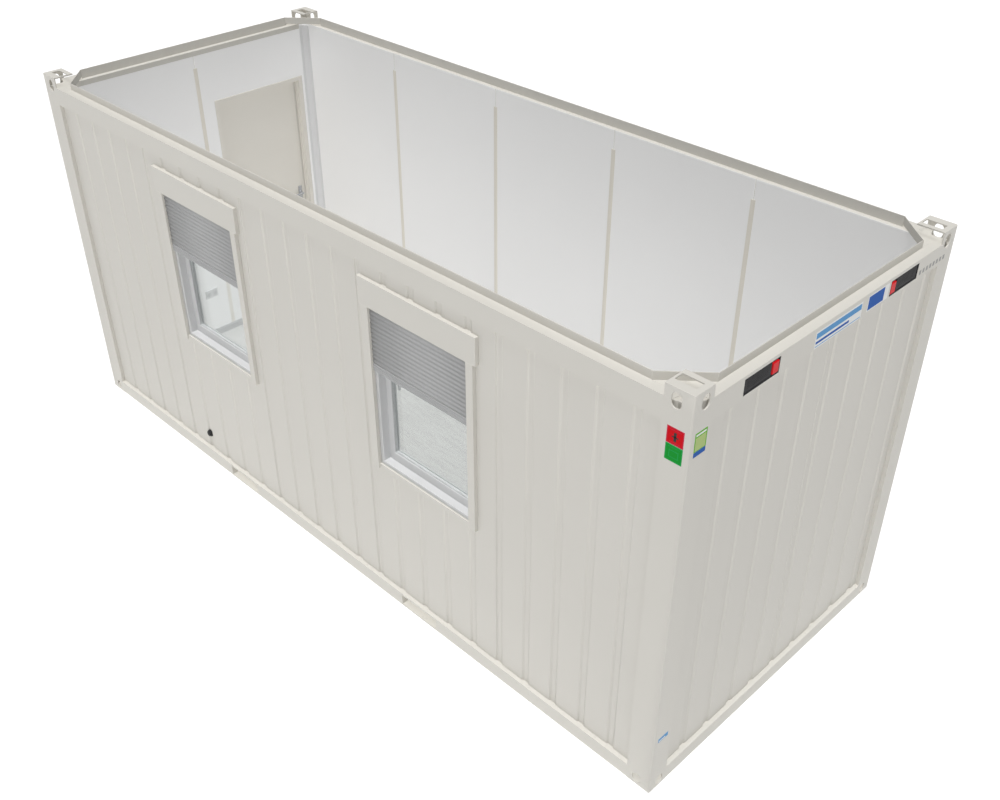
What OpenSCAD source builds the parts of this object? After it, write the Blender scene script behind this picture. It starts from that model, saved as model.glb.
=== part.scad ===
// Portable site cabin on a steel frame.
// Origin at the middle of the footprint, on the ground. +X is the plain end, -X the end with
// the door, -Y the long side with the two windows, +Z up. All sizes in millimetres.

/* [Overall] */
// outside length, over the corner fittings
cabin_l = 6055; // [4000:5:12200]
// outside width, over the corner fittings
cabin_w = 2435; // [2200:5:3000]
// height over the top corner fittings
cabin_h = 2800; // [2591:1:3000]

/* [Corner posts and fittings] */
// width of a corner post along the long side
post_x = 172; // [150:1:220]
// width of a corner post along the end
post_y = 150; // [130:1:200]
// thickness of the post's rolled steel
post_t = 4; // [3:0.5:6]
// radius of the outermost upright edge of the posts and the fittings
post_round = 9; // [4:1:12]
// height of the fitting on top of a post
top_fitting_h = 118; // [100:1:130]
// height of the fitting under a post
foot_h = 110; // [100:1:130]
// plate thickness of the fittings
fitting_t = 9; // [6:0.5:14]
// length of the four-cornered slot in the flat plates of the fittings
slot_l = 125; // [110:1:130]
// width of the slot in the flat plates of the fittings
slot_w = 62; // [50:1:70]
// radius of the slot's corners
slot_corner = 6; // [2:0.5:20]
// distance from the cabin's end to the slot
slot_from_end = 35; // [25:1:40]
// distance from the cabin's long side to the slot
slot_from_side = 54; // [45:1:60]
// width of the upright holes in the sides of the fittings
hole_w = 59; // [45:1:65]
// height of the upright holes in the sides of the fittings
hole_h = 86; // [70:1:95]
// distance from the cabin's end to the middle of the hole in the long side
hole_from_end = 100; // [90:0.5:105]
// distance from the cabin's long side to the middle of the hole in the end
hole_from_side = 90; // [80:0.5:95]
// depth of the upright hole's middle below the top of the fitting
hole_drop = 70; // [60:1:75]
// height of the upright holes in the fittings under the posts
foot_hole_h = 74; // [50:1:80]
// height above the ground of the middle of those holes
foot_hole_z = 52; // [48:1:56]
// radius of the rounded cut-out in the ledge plate round the fitting's hollow
hollow_r = 118; // [90:1:125]

/* [Roof frame] */
// depth of the ledge below the top of the fittings
ledge_drop = 74; // [50:1:90]
// width of the ledge
ledge_w = 62; // [40:1:90]
// height of the upstand on the ledge
upstand_h = 50; // [20:1:70]
// height of the roof rail's outer face
roof_rail_h = 131; // [100:1:180]
// thickness of the roof rail's folded steel
rail_t = 4; // [3:0.5:6]
// distance from the cabin's end to where the corner slant leaves the long side's upstand
slant_from_end = 290; // [260:1:350]
// distance from the cabin's long side to where the slant meets the end's upstand
slant_from_side = 267; // [245:1:330]
// length of a power inlet's recess in the end rail
inlet_l = 300; // [200:1:340]
// height of a power inlet's recess
inlet_h = 98; // [70:1:105]
// distance from the ledge down to a power inlet's recess
inlet_drop = 21; // [8:1:30]
// depth of a power inlet's recess
inlet_deep = 20; // [10:1:40]
// distance from the middle of the end to the middle of a power inlet
inlet_off = 672; // [400:1:750]

/* [Base frame and floor] */
// top of the base rails above the ground
base_top = 110; // [108:1:140]
// gap between the ground and the base rails
base_lift = 4; // [2:1:10]
// thickness of the base rail's folded steel
base_t = 4; // [3:0.5:6]
// width of a forklift pocket
pocket_w = 342; // [300:1:370]
// height of a forklift pocket
pocket_h = 82; // [70:1:86]
// distance from the cabin's middle to the middle of a forklift pocket
pocket_off = 1023; // [900:1:1100]
// wall thickness of the forklift pocket sleeves
sleeve_t = 3; // [2:0.5:5]
// thickness of the floor board
board_t = 18; // [15:1:28]
// width of a floor joist
joist_w = 50; // [40:1:70]
// number of floor joists in the bay beside each pocket
joist_count = 3; // [2:1:5]

/* [Wall panels] */
// distance from the cabin's outside to the face of the panels
panel_in = 27; // [20:1:40]
// thickness of the wall panels
panel_t = 70; // [60:1:90]
// length of the insulated corner between the cabin's end and the first panel
corner_run = 120; // [100:1:160]
// number of groove spaces on a whole panel
grooves = 5; // [3:1:7]
// width of a groove at its mouth
groove_w = 54; // [30:1:70]
// distance from a joint between panels to the middle of the groove beside it
groove_shift = 22; // [0:1:50]
// distance from the middle of an end wall to the middle of the groove beside it
end_shift = 46; // [30:1:70]
// depth of a groove
groove_deep = 8; // [4:0.5:12]
// top of the wall panels above the ground
panel_top = 2708; // [2690:1:2715]

/* [Windows and roller shutters] */
// how far a window sits off its panel's middle, toward the cabin's middle
window_shift = 44; // [0:1:50]
// width of the clear opening between the shutter's side rails
window_clear_w = 830; // [700:1:850]
// underside of the shutter box above the ground
window_top = 2308; // [2100:1:2330]
// bottom of the clear opening above the ground
window_sill = 1152; // [900:1:1300]
// width of the side rails
side_rail_w = 57; // [40:1:95]
// how far the shutter box reaches past each side rail
box_over = 24.5; // [0:0.5:30]
// height of the trim below the opening
sill_trim_h = 34; // [28:1:80]
// how far the trim below the opening stands out from the panels
trim_out = 14; // [8:1:20]
// how far the side rails stand out from the panels
rail_out = 26; // [20:1:27]
// height of the shutter box
shutter_box_h = 184; // [140:1:200]
// wall thickness of the shutter box
shutter_box_t = 3; // [2:0.5:5]
// bottom edge of the lowered shutter above the ground
shutter_low = 1861; // [1300:1:2200]
// how far the box's body stays below the top of its cover where it goes through the wall
box_lip = 30; // [20:1:45]
// thickness of the shutter's slats
shutter_t = 8; // [6:0.5:14]
// length of slats that stays inside the box when the shutter is let down
shutter_hidden = 60; // [20:1:120]
// distance from the front of the side rails to the shutter's slats
shutter_in = 14; // [5:0.5:16]
// face width of the window's outer frame
frame_w = 48; // [40:1:70]
// face width of the opening sash
sash_w = 46; // [40:1:70]
// face height of the opening sash's bottom rail
sash_foot_w = 61; // [40:1:80]
// thickness of the window frame
frame_t = 80; // [70:1:90]
// how far the window frame laps behind the side rails
frame_lap = 24; // [15:1:40]
// how far the sash's face lies behind the outer frame's face
sash_in = 55; // [30:1:60]
// thickness of the sash
sash_t = 48; // [40:1:60]
// how far the glass lies behind the sash's face
glass_in = 8; // [4:1:14]
// thickness of the sealed glass unit
glass_t = 24; // [18:1:28]

/* [Door] */
// distance from the corner of the room to the closing side of the door frame
door_from_corner = 82.5; // [60:0.5:100]
// width of the door frame over its outside
door_frame_w = 901; // [850:1:930]
// top of the door frame above the ground
door_top = 2258; // [2100:1:2300]
// width of the frame's inner face
casing_w = 34; // [25:1:45]
// depth of the frame's inner face part
casing_deep = 40; // [30:1:45]
// how far the door stop stands in from the casing
stop_w = 10; // [8:1:20]
// how far the stop's outer face lies outside the panels' inner face
stop_deep = 60.5; // [55:0.5:62]
// width of the frame beside the leaf
jamb_w = 20.5; // [18:0.5:24]
// how far the frame stands out from the panels
frame_out = 7.5; // [5:0.5:10]
// height of the threshold above the base rail
threshold_h = 32; // [25:1:45]
// gap around the leaf
leaf_gap = 6; // [5:0.5:8]
// gap between the stop and the closed leaf, for the seal
seal_gap = 5; // [5:0.5:8]
// thickness of the leaf
leaf_t = 28; // [24:1:30]
// depth of the hinge pin's middle below the leaf's outer face
hinge_in = 4.5; // [3.5:0.25:6]
// gap between a knuckle and the side of the opening in the frame
hinge_off = 0.5; // [0.3:0.1:1]
// distance from the ends of the leaf to the outer hinges
hinge_from_end = 150; // [100:5:250]
// outside radius of a hinge knuckle
knuckle_r = 7; // [6:0.5:9]
// radius of the hinge pin
hinge_pin_r = 4; // [3:0.25:5]
// play between the pin and the leaf's knuckle
hinge_play = 0.4; // [0.3:0.05:0.6]
// height of one hinge knuckle
knuckle_h = 45; // [35:1:60]
// height of the handle above the floor
handle_up = 1050; // [950:1:1100]
// distance from the leaf's closing edge to the handle
handle_in = 72; // [55:1:90]
// length of the lever
lever_l = 118; // [100:1:135]
// radius of the lever's bar
lever_r = 9; // [7:0.5:11]

/* [Hidden] */
half_l = cabin_l / 2;
half_w = cabin_w / 2;
ledge_z = cabin_h - ledge_drop;
rail_low = ledge_z - roof_rail_h;
post_top = cabin_h - top_fitting_h;
panel_x = half_l - panel_in;
panel_y = half_w - panel_in;
inner_x = panel_x - panel_t;
inner_y = panel_y - panel_t;
long_panels = 5;
long_run = cabin_l - 2 * corner_run;
panel_w = long_run / long_panels;
groove_pitch = panel_w / grooves;
window_off = panel_w - window_shift;
panel_h = panel_top - base_top;
pan_z = base_lift + base_t;
sleeve_floor_t = 4;
pocket_low = pan_z + sleeve_floor_t;
sleeve_half = pocket_w / 2 + sleeve_t;
board_low = pocket_low + pocket_h + sleeve_t;
floor_z = board_low + board_t;
window_w = window_clear_w + 2 * side_rail_w;
box_w = window_w + 2 * box_over;
frame_y = 1 - panel_y;
sash_y = frame_y + sash_in;
glass_w = window_clear_w + 2 * (frame_lap - frame_w - sash_w);
glass_low = window_sill - frame_lap + frame_w + sash_foot_w;
glass_high = window_top - frame_w - sash_w;
window_low = window_sill - sill_trim_h;
glazed_w = window_clear_w + 2 * frame_lap;
glazed_low = window_sill - frame_lap;
door_end = inner_y - door_from_corner;
door_y = door_end - door_frame_w;
stop_x = inner_x + stop_deep;
leaf_x = stop_x + seal_gap;
hinge_x = leaf_x + leaf_t - hinge_in;
hinge_y = door_y + jamb_w - knuckle_r - hinge_off;
leaf_y0 = door_y + jamb_w + leaf_gap;
leaf_y1 = door_end - jamb_w - leaf_gap;
leaf_z0 = base_top + threshold_h + leaf_gap;
leaf_z1 = door_top - jamb_w - leaf_gap;
handle_y = leaf_y1 - handle_in;
handle_z = floor_z + handle_up;
CREAM = [0.83, 0.81, 0.77];
WHITE = [0.92, 0.92, 0.92];

// ---------- helpers ----------

// a block given by its low corner and its high corner
module block(low, high) {
    translate(low) cube(high - low);
}

// turns a piece made at the front right corner to one of the four corners
module at_corner(sx, sy) {
    mirror([sx < 0 ? 1 : 0, 0, 0]) mirror([0, sy > 0 ? 1 : 0, 0]) children();
}

// a slot with round ends, standing on its middle, long side along x
module slot_2d(l, w) {
    run = l - w;
    translate([-run / 2, -w / 2]) square([run, w]);
    for (s = [-1, 1]) translate([s * run / 2, 0]) circle(d = w, $fn = 48);
}

// a rectangle with rounded corners, standing on its middle
module soft_rectangle(l, w, r) {
    translate([-l / 2 + r, -w / 2]) square([l - 2 * r, w]);
    translate([-l / 2, -w / 2 + r]) square([l, w - 2 * r]);
    for (a = [-1, 1]) for (b = [-1, 1])
        translate([a * (l / 2 - r), b * (w / 2 - r)]) circle(r = r, $fn = 24);
}

// the upright holes through a fitting's long side plate and end plate, seen at the front right
module side_holes(mid_z, h) {
    translate([half_l - hole_from_end, -half_w + fitting_t + 1, mid_z])
        rotate([90, 0, 0]) rotate([0, 0, 90]) linear_extrude(fitting_t + 2) slot_2d(h, hole_w);
    translate([half_l - fitting_t - 1, -half_w + hole_from_side, mid_z])
        rotate([90, 0, 90]) rotate([0, 0, 90]) linear_extrude(fitting_t + 2) slot_2d(h, hole_w);
}

// the flat slot through a fitting's top or bottom plate
module plate_slot(z, t) {
    translate([half_l - slot_from_end - slot_l / 2, -half_w + slot_from_side + slot_w / 2, z])
        linear_extrude(t) soft_rectangle(slot_l, slot_w, slot_corner);
}

// ---------- base frame ----------

// a base rail along x at the front, between the posts; the pockets go through its web
module base_rail_long() {
    run = half_l - post_x;
    color(CREAM) difference() {
        union() {
            block([-run, -half_w, base_lift], [run, -half_w + base_t, base_top]);
            block([-run, -half_w, base_top - base_t], [run, -inner_y, base_top]);
            block([-run, -half_w, base_lift], [run, -half_w + ledge_w, base_lift + base_t]);
        }
        for (s = [-1, 1])
            block(
                [s * pocket_off - pocket_w / 2, -half_w - 1, pocket_low],
                [s * pocket_off + pocket_w / 2, -half_w + base_t + 1, pocket_low + pocket_h]
            );
    }
}

// a base rail along y at the right end, between the posts
module base_rail_short() {
    run = half_w - post_y;
    color(CREAM) {
        block([half_l - base_t, -run, base_lift], [half_l, run, base_top]);
        block([inner_x, -run, base_top - base_t], [half_l, run, base_top]);
        block([half_l - post_x, -run, base_lift], [half_l, run, base_lift + base_t]);
    }
}

module base_rail_front() base_rail_long();
module base_rail_back() mirror([0, 1, 0]) base_rail_long();
module base_rail_right() base_rail_short();
module base_rail_left() mirror([1, 0, 0]) base_rail_short();

// a joist from one long rail to the other
module joist(x) {
    block(
        [x - joist_w / 2, -half_w + base_t, pan_z],
        [x + joist_w / 2, half_w - base_t, board_low]
    );
}

// a tray of the steel underside from x0 to x1, with its joists welded in
module floor_tray(x0, x1) {
    color(CREAM) {
        block([x0, -half_w + base_t, pan_z], [x1, half_w - base_t, pan_z + sleeve_t]);
        for (i = [1 : joist_count]) joist(x0 + i * (x1 - x0) / (joist_count + 1));
    }
}

// a forklift sleeve, a tube of sheet steel from one long rail to the other
module fork_sleeve(x) {
    color(CREAM) difference() {
        block([x - sleeve_half, -half_w + base_t, pan_z], [x + sleeve_half, half_w - base_t, board_low]);
        block([x - pocket_w / 2, -half_w, pocket_low], [x + pocket_w / 2, half_w, pocket_low + pocket_h]);
    }
}

module floor_pan_left() floor_tray(-half_l + post_x, -pocket_off - sleeve_half);
module floor_pan_middle() floor_tray(-pocket_off + sleeve_half, pocket_off - sleeve_half);
module floor_pan_right() floor_tray(pocket_off + sleeve_half, half_l - post_x);
module fork_sleeve_left() fork_sleeve(-pocket_off);
module fork_sleeve_right() fork_sleeve(pocket_off);

// the room that the fittings under the four posts take up
module foot_spaces() {
    for (sx = [-1, 1]) for (sy = [-1, 1]) at_corner(sx, sy)
        block([half_l - post_x, -half_w, 0], [half_l, -half_w + post_y, foot_h]);
}

// floor board with its vinyl, between the four walls; it is notched over the fittings' tops
module floor_board() {
    color([0.78, 0.76, 0.72]) difference() {
        block([-inner_x, -inner_y, board_low], [inner_x, inner_y, floor_z]);
        foot_spaces();
    }
}

// ---------- corner posts ----------

// what is taken off the outermost upright edge to round it
module outer_edge() {
    translate([0, 0, -1]) linear_extrude(cabin_h + 2) difference() {
        translate([half_l - post_round, -half_w - 1]) square(post_round + 1);
        translate([half_l - post_round, post_round - half_w]) circle(r = post_round, $fn = 48);
    }
}

// a post at the front right corner: a rolled steel angle with returned edges, fitting as foot
module corner_post() {
    color(CREAM) difference() {
        union() {
            // long side leg with its return
            block([half_l - post_x, -half_w, foot_h], [half_l, -half_w + post_t, post_top]);
            block([half_l - post_x, -half_w, foot_h], [half_l - post_x + post_t, -panel_y, post_top]);
            // end leg with its return
            block([half_l - post_t, -half_w, foot_h], [half_l, -half_w + post_y, post_top]);
            block([panel_x, -half_w + post_y - post_t, foot_h], [half_l, -half_w + post_y, post_top]);
            // thickened corner between the two legs
            block([panel_x - panel_t / 2, -half_w, foot_h], [half_l, -panel_y, post_top]);
            corner_foot();
        }
        outer_edge();
    }
}

// the fitting under a post
module corner_foot() {
    difference() {
        block([half_l - post_x, -half_w, 0], [half_l, -half_w + post_y, foot_h]);
        block(
            [half_l - post_x - 1, -half_w + fitting_t, fitting_t],
            [half_l - fitting_t, -half_w + post_y + 1, foot_h - fitting_t]
        );
        plate_slot(-1, fitting_t + 2);
        side_holes(foot_hole_z, foot_hole_h);
    }
}

module corner_post_front_right() at_corner(1, -1) corner_post();
module corner_post_front_left() at_corner(-1, -1) corner_post();
module corner_post_back_right() at_corner(1, 1) corner_post();
module corner_post_back_left() at_corner(-1, 1) corner_post();

// ---------- roof frame ----------

// folded section of a roof rail: x is the distance in from the cabin's outside, y the height
module roof_rail_section(with_upstand) {
    translate([0, rail_low]) square([rail_t, roof_rail_h]);
    translate([0, rail_low]) square([panel_in, rail_t]);
    translate([0, ledge_z - rail_t]) square([ledge_w + (with_upstand ? rail_t : 0), rail_t]);
    if (with_upstand)
        translate([ledge_w, panel_top]) square([rail_t, ledge_z + upstand_h - panel_top]);
}

// a roof rail along x at the front: full length ledge, upstand between the corner slants
module roof_rail_long() {
    run = half_l - post_x;
    upstand_run = half_l - slant_from_end;
    color(CREAM) {
        for (part = [[run, false], [upstand_run, true]])
            translate([-part[0], -half_w, 0]) rotate([90, 0, 90])
                linear_extrude(2 * part[0]) roof_rail_section(part[1]);
    }
}

// a roof rail along y at the right end, with the recesses of the two power inlets
module roof_rail_short(inlets) {
    run = half_w - post_y;
    upstand_run = half_w - slant_from_side;
    inlet_z = ledge_z - inlet_drop;
    color(CREAM) difference() {
        union() {
            for (part = [[run, false], [upstand_run, true]])
                translate([half_l, part[0], 0]) rotate([90, 0, 0]) mirror([1, 0, 0])
                    linear_extrude(2 * part[0]) roof_rail_section(part[1]);
            if (inlets)
                for (s = [-1, 1])
                    block(
                        [half_l - inlet_deep - rail_t, s * inlet_off - inlet_l / 2 - rail_t, rail_low],
                        [half_l, s * inlet_off + inlet_l / 2 + rail_t, ledge_z]
                    );
        }
        if (inlets)
            for (s = [-1, 1])
                block(
                    [half_l - inlet_deep, s * inlet_off - inlet_l / 2, inlet_z - inlet_h],
                    [half_l + 1, s * inlet_off + inlet_l / 2, inlet_z]
                );
    }
}

module roof_rail_front() roof_rail_long();
module roof_rail_back() mirror([0, 1, 0]) roof_rail_long();
module roof_rail_right() roof_rail_short(true);
module roof_rail_left() mirror([1, 0, 0]) roof_rail_short(false);

// a top fitting at the front right corner with its ledge plate and slanted upstand
module roof_corner() {
    in_x = half_l - post_x;
    in_y = -half_w + post_y;
    a = [half_l - slant_from_end, -half_w + ledge_w];
    b = [half_l - ledge_w, -half_w + slant_from_side];
    slant = norm(b - a);
    turn = atan2(b[1] - a[1], b[0] - a[0]);
    plate_x = half_l - fitting_t + 1;
    plate_y = -half_w + fitting_t - 1;
    color(CREAM) {
        difference() {
            block([in_x, -half_w, post_top], [half_l, in_y, cabin_h]);
            outer_edge();
            block(
                [in_x - 1, -half_w + fitting_t, post_top - 1],
                [half_l - fitting_t, in_y + 1, cabin_h - fitting_t]
            );
            plate_slot(cabin_h - fitting_t - 1, fitting_t + 2);
            side_holes(cabin_h - hole_drop, hole_h);
        }
        // ledge plate from the slant into the fitting, rounded out around the fitting's pocket
        translate([0, 0, ledge_z - rail_t]) linear_extrude(rail_t) difference() {
            polygon([
                a, [in_x, a[1]], [in_x, plate_y], [plate_x, plate_y], [plate_x, in_y], [b[0], in_y], b
            ]);
            translate([plate_x, plate_y]) circle(r = hollow_r, $fn = 96);
        }
        // upstand along the slant, cut off square at both rails' upstands
        intersection() {
            translate([a[0], a[1], ledge_z - rail_t]) rotate([0, 0, turn])
                translate([-rail_t, -1, 0]) cube([slant + 2 * rail_t, rail_t + 1, upstand_h + rail_t]);
            block([a[0], a[1], post_top], [b[0], b[1], cabin_h]);
        }
    }
}

module roof_corner_front_right() at_corner(1, -1) roof_corner();
module roof_corner_front_left() at_corner(-1, -1) roof_corner();
module roof_corner_back_right() at_corner(1, 1) roof_corner();
module roof_corner_back_left() at_corner(-1, 1) roof_corner();

// ---------- wall panels ----------

// one groove's section: the mouth on y = 0, going down into -y
module groove_2d() {
    slope = groove_deep;
    polygon([
        [-groove_w / 2, 1], [-groove_w / 2, 0], [-groove_w / 2 + slope, -groove_deep],
        [groove_w / 2 - slope, -groove_deep], [groove_w / 2, 0], [groove_w / 2, 1]
    ]);
}

// a panel seen in plan: it runs along x from x0 to x1, its face on y = 0 and its body in -y
module panel_2d(x0, x1) {
    first = ceil((x0 - end_shift) / groove_pitch);
    last = floor((x1 - end_shift + groove_w / 2) / groove_pitch);
    difference() {
        translate([x0, -panel_t]) square([x1 - x0, panel_t]);
        for (i = [first : last]) translate([i * groove_pitch + end_shift, 0]) groove_2d();
    }
}

// a panel of the long side, its grooves counted from its middle, with one on each joint; the first
// and the last panel run on to the face of the end walls
module long_panel(i) {
    mid = (i - (long_panels + 1) / 2) * panel_w;
    x0 = i == 1 ? -panel_x : mid - panel_w / 2;
    x1 = i == long_panels ? panel_x : mid + panel_w / 2;
    color(CREAM) difference() {
        translate([0, -panel_y, base_top]) mirror([0, 1, 0]) linear_extrude(panel_h) difference() {
            translate([x0, -panel_t]) square([x1 - x0, panel_t]);
            for (k = [-grooves / 2 : 1 : grooves / 2])
                translate([mid + k * groove_pitch + groove_shift, 0]) groove_2d();
        }
        foot_spaces();
    }
}

module window_panel(i, side) {
    difference() {
        long_panel(i);
        block(
            [side * window_off - glazed_w / 2, -half_w, glazed_low],
            [side * window_off + glazed_w / 2, 0, window_top + shutter_box_h - box_lip]
        );
    }
}

module front_panel_1() long_panel(1);
module front_panel_2() window_panel(2, -1);
module front_panel_3() long_panel(3);
module front_panel_4() window_panel(4, 1);
module front_panel_5() long_panel(5);

module back_panel_1() mirror([0, 1, 0]) long_panel(1);
module back_panel_2() mirror([0, 1, 0]) long_panel(2);
module back_panel_3() mirror([0, 1, 0]) long_panel(3);
module back_panel_4() mirror([0, 1, 0]) long_panel(4);
module back_panel_5() mirror([0, 1, 0]) long_panel(5);

// a panel of the right end wall from y0 to y1
module end_panel(y0, y1) {
    color(CREAM) difference() {
        translate([panel_x, 0, base_top]) rotate([0, 0, -90]) mirror([1, 0, 0])
            linear_extrude(panel_h) panel_2d(y0, y1);
        foot_spaces();
    }
}

// a panel of the left end wall from y0 to y1, cut out round the door frame
module door_end_panel(y0, y1) {
    mirror([1, 0, 0]) difference() {
        end_panel(y0, y1);
        block([inner_x - 1, door_y, base_top - 1], [panel_x + 1, door_end, door_top]);
    }
}

module right_panel_1() end_panel(-inner_y, 0);
module right_panel_2() end_panel(0, inner_y);
module left_panel_1() door_end_panel(-inner_y, 0);
module left_panel_2() door_end_panel(0, inner_y);

// ---------- windows ----------

// a ring w wide between two heights and two depths, with its lower member foot_w high
module window_ring(half, z0, z1, w, foot_w, y0, y1) {
    difference() {
        block([-half, y0, z0], [half, y1, z1]);
        block([w - half, y0 - 1, z0 + foot_w], [half - w, y1 + 1, z1 - w]);
    }
}

// the white frame and the sash in it, in the wall's opening
module window_frame(side) {
    color(WHITE) translate([side * window_off, 0, 0]) {
        window_ring(glazed_w / 2, glazed_low, window_top, frame_w, frame_w, frame_y, frame_y + frame_t);
        window_ring(glazed_w / 2 - frame_w, glazed_low + frame_w, window_top - frame_w,
            sash_w, sash_foot_w, sash_y, sash_y + sash_t);
    }
}

// the sealed glass unit inside the sash
module window_glass(side) {
    y0 = sash_y + glass_in;
    color([0.75, 0.83, 0.8, 0.5]) translate([side * window_off, 0, 0])
        block([-glass_w / 2, y0, glass_low], [glass_w / 2, y0 + glass_t, glass_high]);
}

// shutter box, side rails and sill trim of one window
module shutter_box(side) {
    box_top = window_top + shutter_box_h;
    rail_y = -panel_y - rail_out;
    slot_y = rail_y + shutter_in - 1;
    color(CREAM) translate([side * window_off, 0, 0]) {
        difference() {
            union() {
                block([-box_w / 2, -half_w, window_top], [box_w / 2, -panel_y, box_top]);
                block([-glazed_w / 2, -half_w, window_top], [glazed_w / 2, -inner_y, box_top - box_lip]);
            }
            block(
                [-glazed_w / 2 + shutter_box_t, -half_w + shutter_box_t, window_top + shutter_box_t],
                [glazed_w / 2 - shutter_box_t, -inner_y - shutter_box_t, box_top - box_lip - shutter_box_t]
            );
            block(
                [-window_clear_w / 2, slot_y, window_top - 1],
                [window_clear_w / 2, slot_y + shutter_t + 2, window_top + shutter_box_t + 1]
            );
        }
        for (s = [-1, 1]) {
            x = s * (window_clear_w + side_rail_w) / 2;
            block([x - side_rail_w / 2, rail_y, window_low], [x + side_rail_w / 2, -panel_y, window_top]);
        }
        block(
            [-window_clear_w / 2, -panel_y - trim_out, window_low],
            [window_clear_w / 2, -panel_y, window_sill]
        );
    }
}

// the part of the slatted shutter that is let down
module shutter_curtain(side) {
    y0 = -panel_y - rail_out + shutter_in;
    color([0.62, 0.63, 0.64]) translate([side * window_off, 0, 0])
        block(
            [-window_clear_w / 2, y0, shutter_low],
            [window_clear_w / 2, y0 + shutter_t, window_top + shutter_hidden]
        );
}

module window_frame_left() window_frame(-1);
module window_frame_right() window_frame(1);
module window_glass_left() window_glass(-1);
module window_glass_right() window_glass(1);
module shutter_box_left() shutter_box(-1);
module shutter_box_right() shutter_box(1);
module shutter_curtain_left() shutter_curtain(-1);
module shutter_curtain_right() shutter_curtain(1);

// ---------- door ----------
// The door is made at the right end, where x grows outward, and mirrored to the left end.

// one ring of the door frame: jambs and head w wide from x0 to x1, over a threshold
module frame_ring(w, x0, x1, low) {
    difference() {
        block([x0, door_y, base_top], [x1, door_end, door_top]);
        block([x0 - 1, door_y + w, base_top + low], [x1 + 1, door_end - w, door_top - w]);
    }
}

// the heights of the bottom of each hinge
function hinge_zs() = [for (k = [0 : 2]) leaf_z0 + hinge_from_end
    + k * (leaf_z1 - leaf_z0 - 2 * hinge_from_end - 2 * knuckle_h) / 2];

module door_frame() {
    arm = 5;
    stop_lip = 8;
    pin_short = 3;
    color(CREAM) mirror([1, 0, 0]) {
        frame_ring(casing_w, inner_x, inner_x + casing_deep, threshold_h - stop_lip);
        frame_ring(casing_w + stop_w, inner_x + casing_deep, stop_x, threshold_h + stop_w + stop_lip);
        frame_ring(jamb_w, stop_x, panel_x + frame_out, threshold_h);
        for (z = hinge_zs()) {
            translate([hinge_x, hinge_y, z]) cylinder(r = knuckle_r, h = knuckle_h, $fn = 64);
            block([panel_x + frame_out - 1, hinge_y - arm, z], [hinge_x, hinge_y + arm, z + knuckle_h]);
            translate([hinge_x, hinge_y, z])
                cylinder(r = hinge_pin_r, h = 2 * knuckle_h - pin_short, $fn = 64);
        }
    }
}

module door_leaf() {
    strap = 4;
    cup_deep = 20;
    cup_r = 55;
    color(CREAM) mirror([1, 0, 0]) difference() {
        union() {
            block([leaf_x, leaf_y0, leaf_z0], [leaf_x + leaf_t, leaf_y1, leaf_z1]);
            for (z = hinge_zs()) {
                translate([hinge_x, hinge_y, z + knuckle_h + 1])
                    cylinder(r = knuckle_r, h = knuckle_h - 1, $fn = 64);
                block(
                    [leaf_x + leaf_t - strap, hinge_y, z + knuckle_h + 1],
                    [leaf_x + leaf_t, leaf_y0 + 1, z + 2 * knuckle_h]
                );
            }
        }
        for (z = hinge_zs())
            translate([hinge_x, hinge_y, z + knuckle_h])
                cylinder(r = hinge_pin_r + hinge_play, h = knuckle_h + 1, $fn = 64);
        // the dished cup of the outside handle, and the spindle's hole
        translate([leaf_x + leaf_t - cup_deep, handle_y, handle_z]) rotate([0, 90, 0])
            cylinder(r = cup_r, h = cup_deep + 1, $fn = 96);
        translate([leaf_x - 1, handle_y, handle_z]) rotate([0, 90, 0])
            cylinder(r = lever_r + 0.5, h = leaf_t + 2, $fn = 48);
    }
}

// inside lever with its plate, spindle, and the turning bar in the outside cup
module door_handle() {
    plate_t = 8;
    plate_w = 38;
    plate_up = 62;
    plate_down = 150;
    lever_x = leaf_x - 45;
    color([0.6, 0.61, 0.63]) mirror([1, 0, 0]) {
        block(
            [leaf_x - plate_t, handle_y - plate_w / 2, handle_z - plate_down],
            [leaf_x, handle_y + plate_w / 2, handle_z + plate_up]
        );
        translate([lever_x, handle_y, handle_z]) rotate([0, 90, 0])
            cylinder(r = lever_r, h = leaf_x + leaf_t - 3 - lever_x, $fn = 48);
        translate([lever_x, handle_y + lever_r, handle_z]) rotate([90, 0, 0])
            cylinder(r = lever_r, h = lever_l + lever_r, $fn = 48);
        translate([leaf_x + leaf_t - 8, handle_y, handle_z]) rotate([0, 90, 0])
            linear_extrude(5) slot_2d(84, 20);
    }
}

base_rail_front();
base_rail_back();
base_rail_left();
base_rail_right();
floor_pan_left();
floor_pan_middle();
floor_pan_right();
fork_sleeve_left();
fork_sleeve_right();
floor_board();
corner_post_front_left();
corner_post_front_right();
corner_post_back_left();
corner_post_back_right();
roof_rail_front();
roof_rail_back();
roof_rail_left();
roof_rail_right();
roof_corner_front_left();
roof_corner_front_right();
roof_corner_back_left();
roof_corner_back_right();
front_panel_1();
front_panel_2();
front_panel_3();
front_panel_4();
front_panel_5();
back_panel_1();
back_panel_2();
back_panel_3();
back_panel_4();
back_panel_5();
right_panel_1();
right_panel_2();
left_panel_1();
left_panel_2();
window_frame_left();
window_glass_left();
shutter_box_left();
shutter_curtain_left();
window_frame_right();
window_glass_right();
shutter_box_right();
shutter_curtain_right();
door_frame();
door_leaf();
door_handle();
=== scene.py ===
import math
import bmesh
import bpy
from mathutils import Matrix, Vector


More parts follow.
